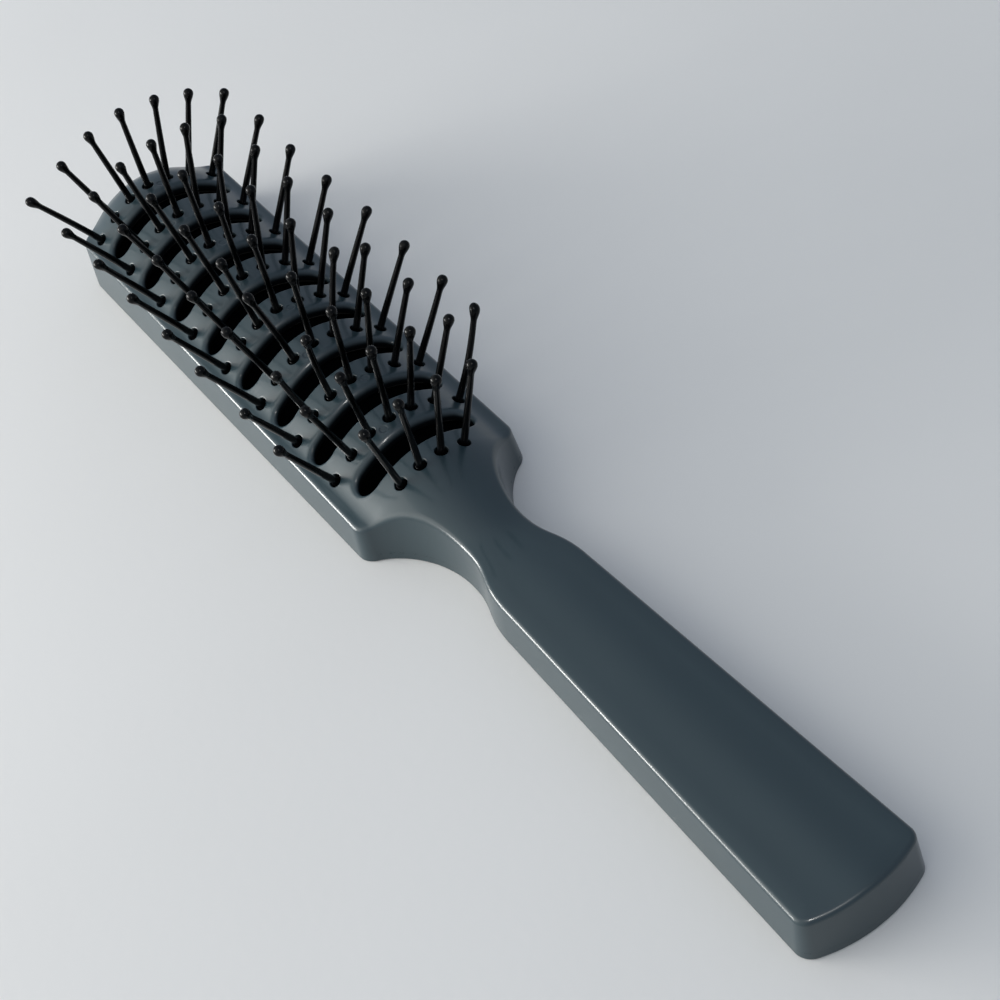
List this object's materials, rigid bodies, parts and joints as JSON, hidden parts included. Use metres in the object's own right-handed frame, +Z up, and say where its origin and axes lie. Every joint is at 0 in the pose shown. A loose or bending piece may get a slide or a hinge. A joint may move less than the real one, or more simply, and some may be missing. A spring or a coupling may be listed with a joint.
{
  "type": "vent hair brush",
  "caption": "Vent hair brush: slotted crowned head, rows of ball-tipped nylon pins, narrow neck and flat flared handle.",
  "frame": {"origin": "on the surface the brush lies on, under the middle of its length and width", "axes": "+X along the brush towards the tip of the head, +Z up out of the pin side"},
  "size_m": [0.22, 0.0447, 0.0363],
  "materials": {
    "body_plastic": "glossy",
    "pin_nylon": "glossy"
  },
  "bodies": {
    "root": {"front_shell": "body_plastic", "back_cover": "body_plastic", "pin_strip_1": "pin_nylon", "pin_strip_2": "pin_nylon", "pin_strip_3": "pin_nylon", "pin_strip_4": "pin_nylon", "pin_strip_5": "pin_nylon", "pin_strip_6": "pin_nylon", "pin_strip_7": "pin_nylon", "pin_strip_8": "pin_nylon", "pin_strip_9": "pin_nylon"}
  },
  "joints": []
}
